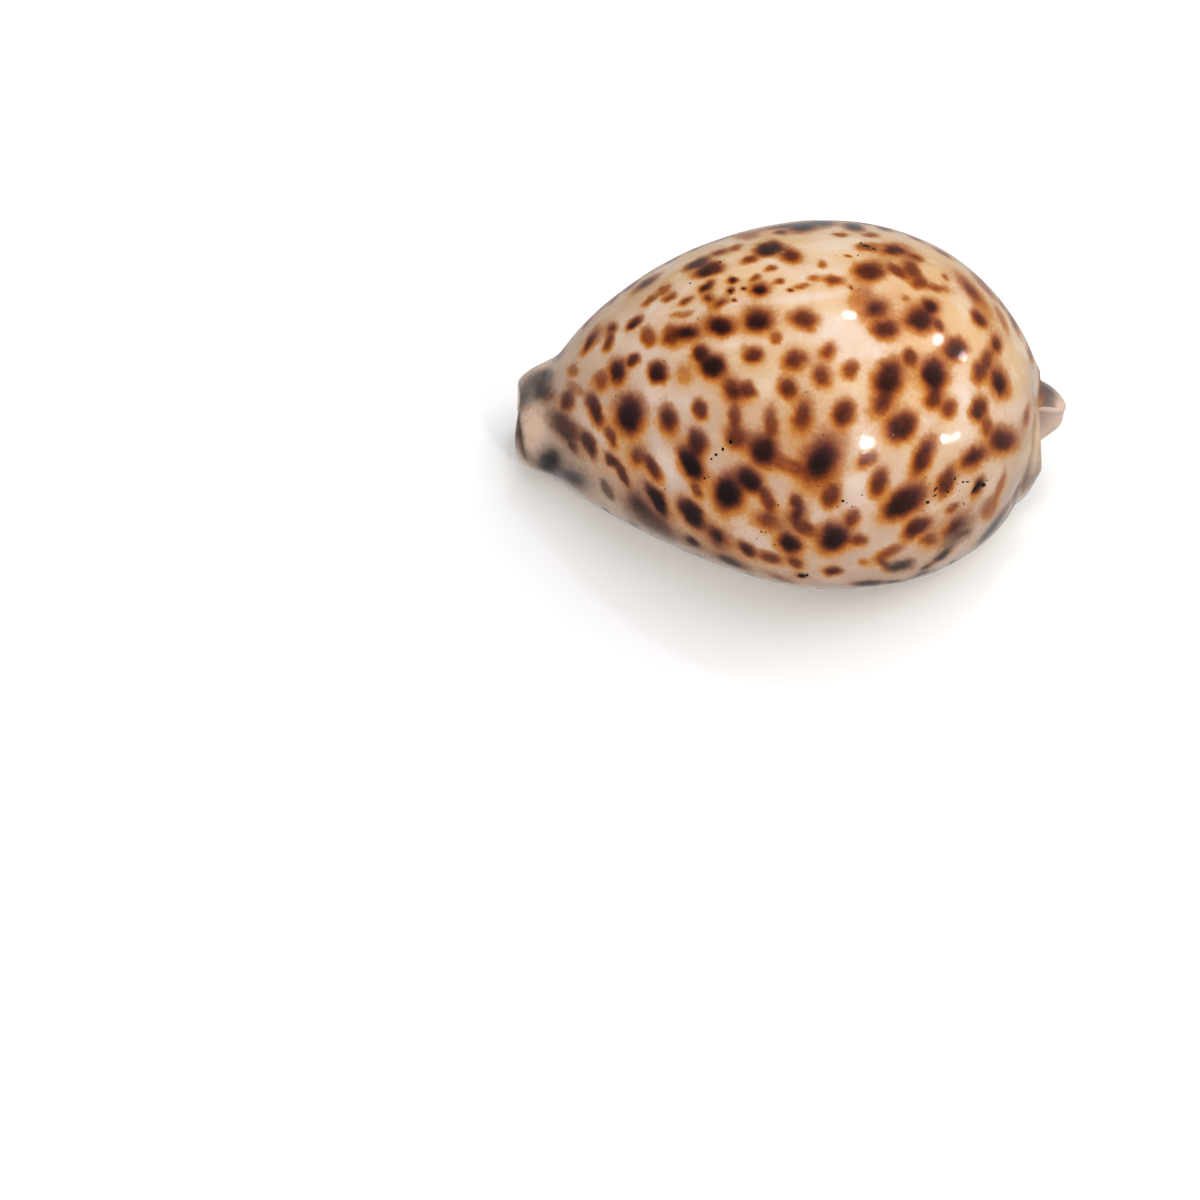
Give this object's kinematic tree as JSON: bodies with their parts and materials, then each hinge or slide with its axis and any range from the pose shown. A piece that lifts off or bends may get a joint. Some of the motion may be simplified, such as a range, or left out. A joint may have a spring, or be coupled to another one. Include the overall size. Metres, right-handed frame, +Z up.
{
  "type": "tiger cowrie shell",
  "caption": "Hollow egg-shaped sea shell with a glossy spotted dome, a flat base with a long toothed slit, and an open canal at each end.",
  "frame": {"origin": "middle of the length and width, on the surface that the shell rests on", "axes": "+Z up through the dome, +X towards the posterior (spire) end, -X the anterior canal, +Y the outer lip side"},
  "size_m": [0.08, 0.0556, 0.0427],
  "materials": {
    "shell": "high gloss glaze over brown-black spots on cream, pale grey-pink at the margins and cream on the base"
  },
  "bodies": {
    "root": {"cowrie_shell": "shell"}
  },
  "joints": []
}
